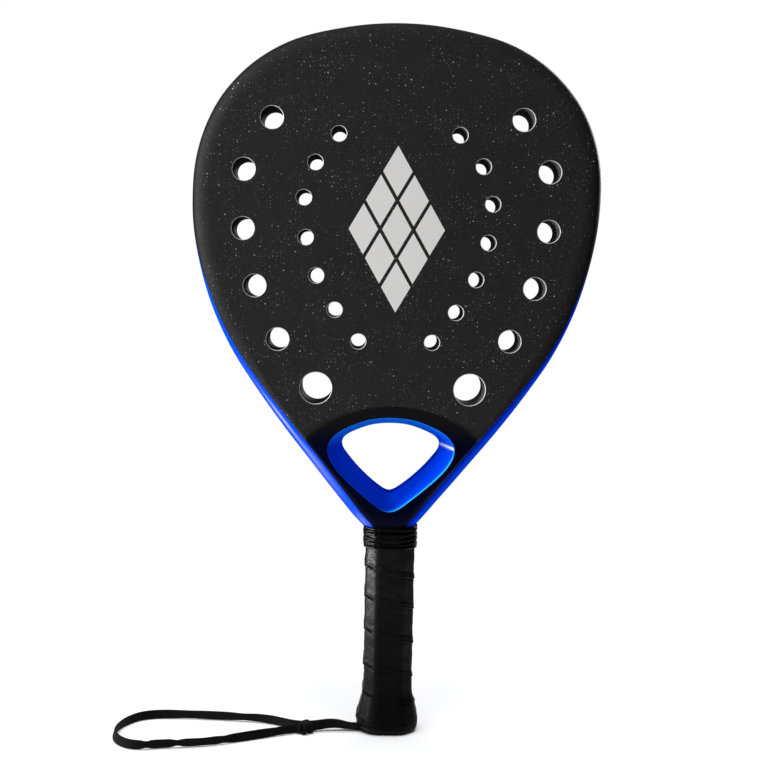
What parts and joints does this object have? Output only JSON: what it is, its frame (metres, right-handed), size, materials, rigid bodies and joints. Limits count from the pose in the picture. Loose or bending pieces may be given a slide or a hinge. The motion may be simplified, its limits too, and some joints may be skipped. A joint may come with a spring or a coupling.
{
  "type": "padel racket",
  "caption": "Teardrop padel racket with a perforated solid head, open throat, wrapped octagonal grip, collar rings and a flat wrist strap.",
  "frame": {"origin": "centre of the flat foot of the butt, which the racket stands on", "axes": "+Z from the butt to the top of the head, +Y out of the rear hitting face (the front face looks along -Y), +X across the head"},
  "size_m": [0.3046, 0.0672, 0.455],
  "materials": {
    "frame_black": "satin to glossy black lacquer",
    "frame_blue": "glossy blue lacquer",
    "eva_foam": "dense dark foam, matt",
    "rough_face": "gritty near-black coat with fine pale glitter",
    "emblem_film": "matt pale grey film",
    "handle_shell": "moulded plastic",
    "cushion": "soft cushion grip",
    "grip_tape": "tacky black overgrip tape with pressed edges",
    "closing_tape": "thin black adhesive tape",
    "collar_rubber": "semi-gloss black rubber",
    "cap_plastic": "black moulded plastic",
    "staple_steel": "bright steel wire",
    "strap_webbing": "tightly woven black webbing"
  },
  "bodies": {
    "root": {"frame_tube": "frame_black", "hoop_foam": "eva_foam", "throat_bridge": "frame_black", "throat_liner": "frame_blue", "foam_core": "eva_foam", "face_front": "rough_face", "face_rear": "rough_face", "face_emblem": "emblem_film", "handle_shell_front": "handle_shell", "handle_shell_rear": "handle_shell", "handle_filler": "eva_foam", "base_grip": "cushion", "overgrip": "grip_tape", "finish_tape": "closing_tape", "collar_band": "collar_rubber", "butt_cap": "cap_plastic", "grip_staples": "staple_steel", "wrist_strap": "strap_webbing", "strap_knot": "strap_webbing", "anchor_knot": "strap_webbing"}
  },
  "joints": []
}
